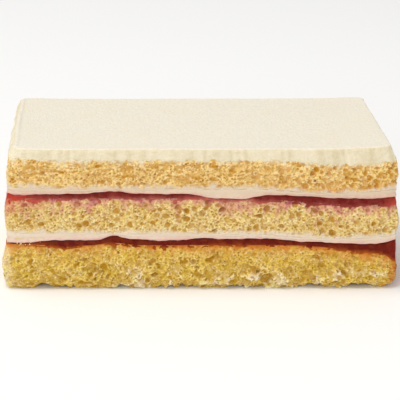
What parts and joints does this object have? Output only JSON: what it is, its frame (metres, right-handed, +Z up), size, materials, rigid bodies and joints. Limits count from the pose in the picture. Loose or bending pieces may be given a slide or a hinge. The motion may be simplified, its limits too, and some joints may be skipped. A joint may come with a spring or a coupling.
{
  "type": "strawberry shortcake portion",
  "caption": "Oblong slab-cut shortcake portion: sheets of open sponge with fillings of strawberry jam under cream, and a smooth cream icing on top.",
  "frame": {"origin": "middle of the base, on the surface the portion rests on", "axes": "+Z up through the layers, +X along the length to the end with the browned shoulder, -Y out of the long cut face in the picture"},
  "size_m": [0.1466, 0.0696, 0.0542],
  "materials": {
    "sponge_bottom": "open golden crumb, matte",
    "jam_lower": "dark red, wet and glossy",
    "cream_lower": "smooth, satin",
    "sponge_middle": "open pale gold crumb, matte",
    "jam_upper": "red, wet and glossy",
    "cream_upper": "smooth, satin",
    "sponge_top": "open golden crumb, matte",
    "icing": "smooth ivory cream, very fine pits"
  },
  "bodies": {
    "root": {"sponge_bottom": "sponge_bottom", "jam_lower": "jam_lower", "cream_lower": "cream_lower", "sponge_middle": "sponge_middle", "jam_upper": "jam_upper", "cream_upper": "cream_upper", "sponge_top": "sponge_top", "icing": "icing"}
  },
  "joints": []
}
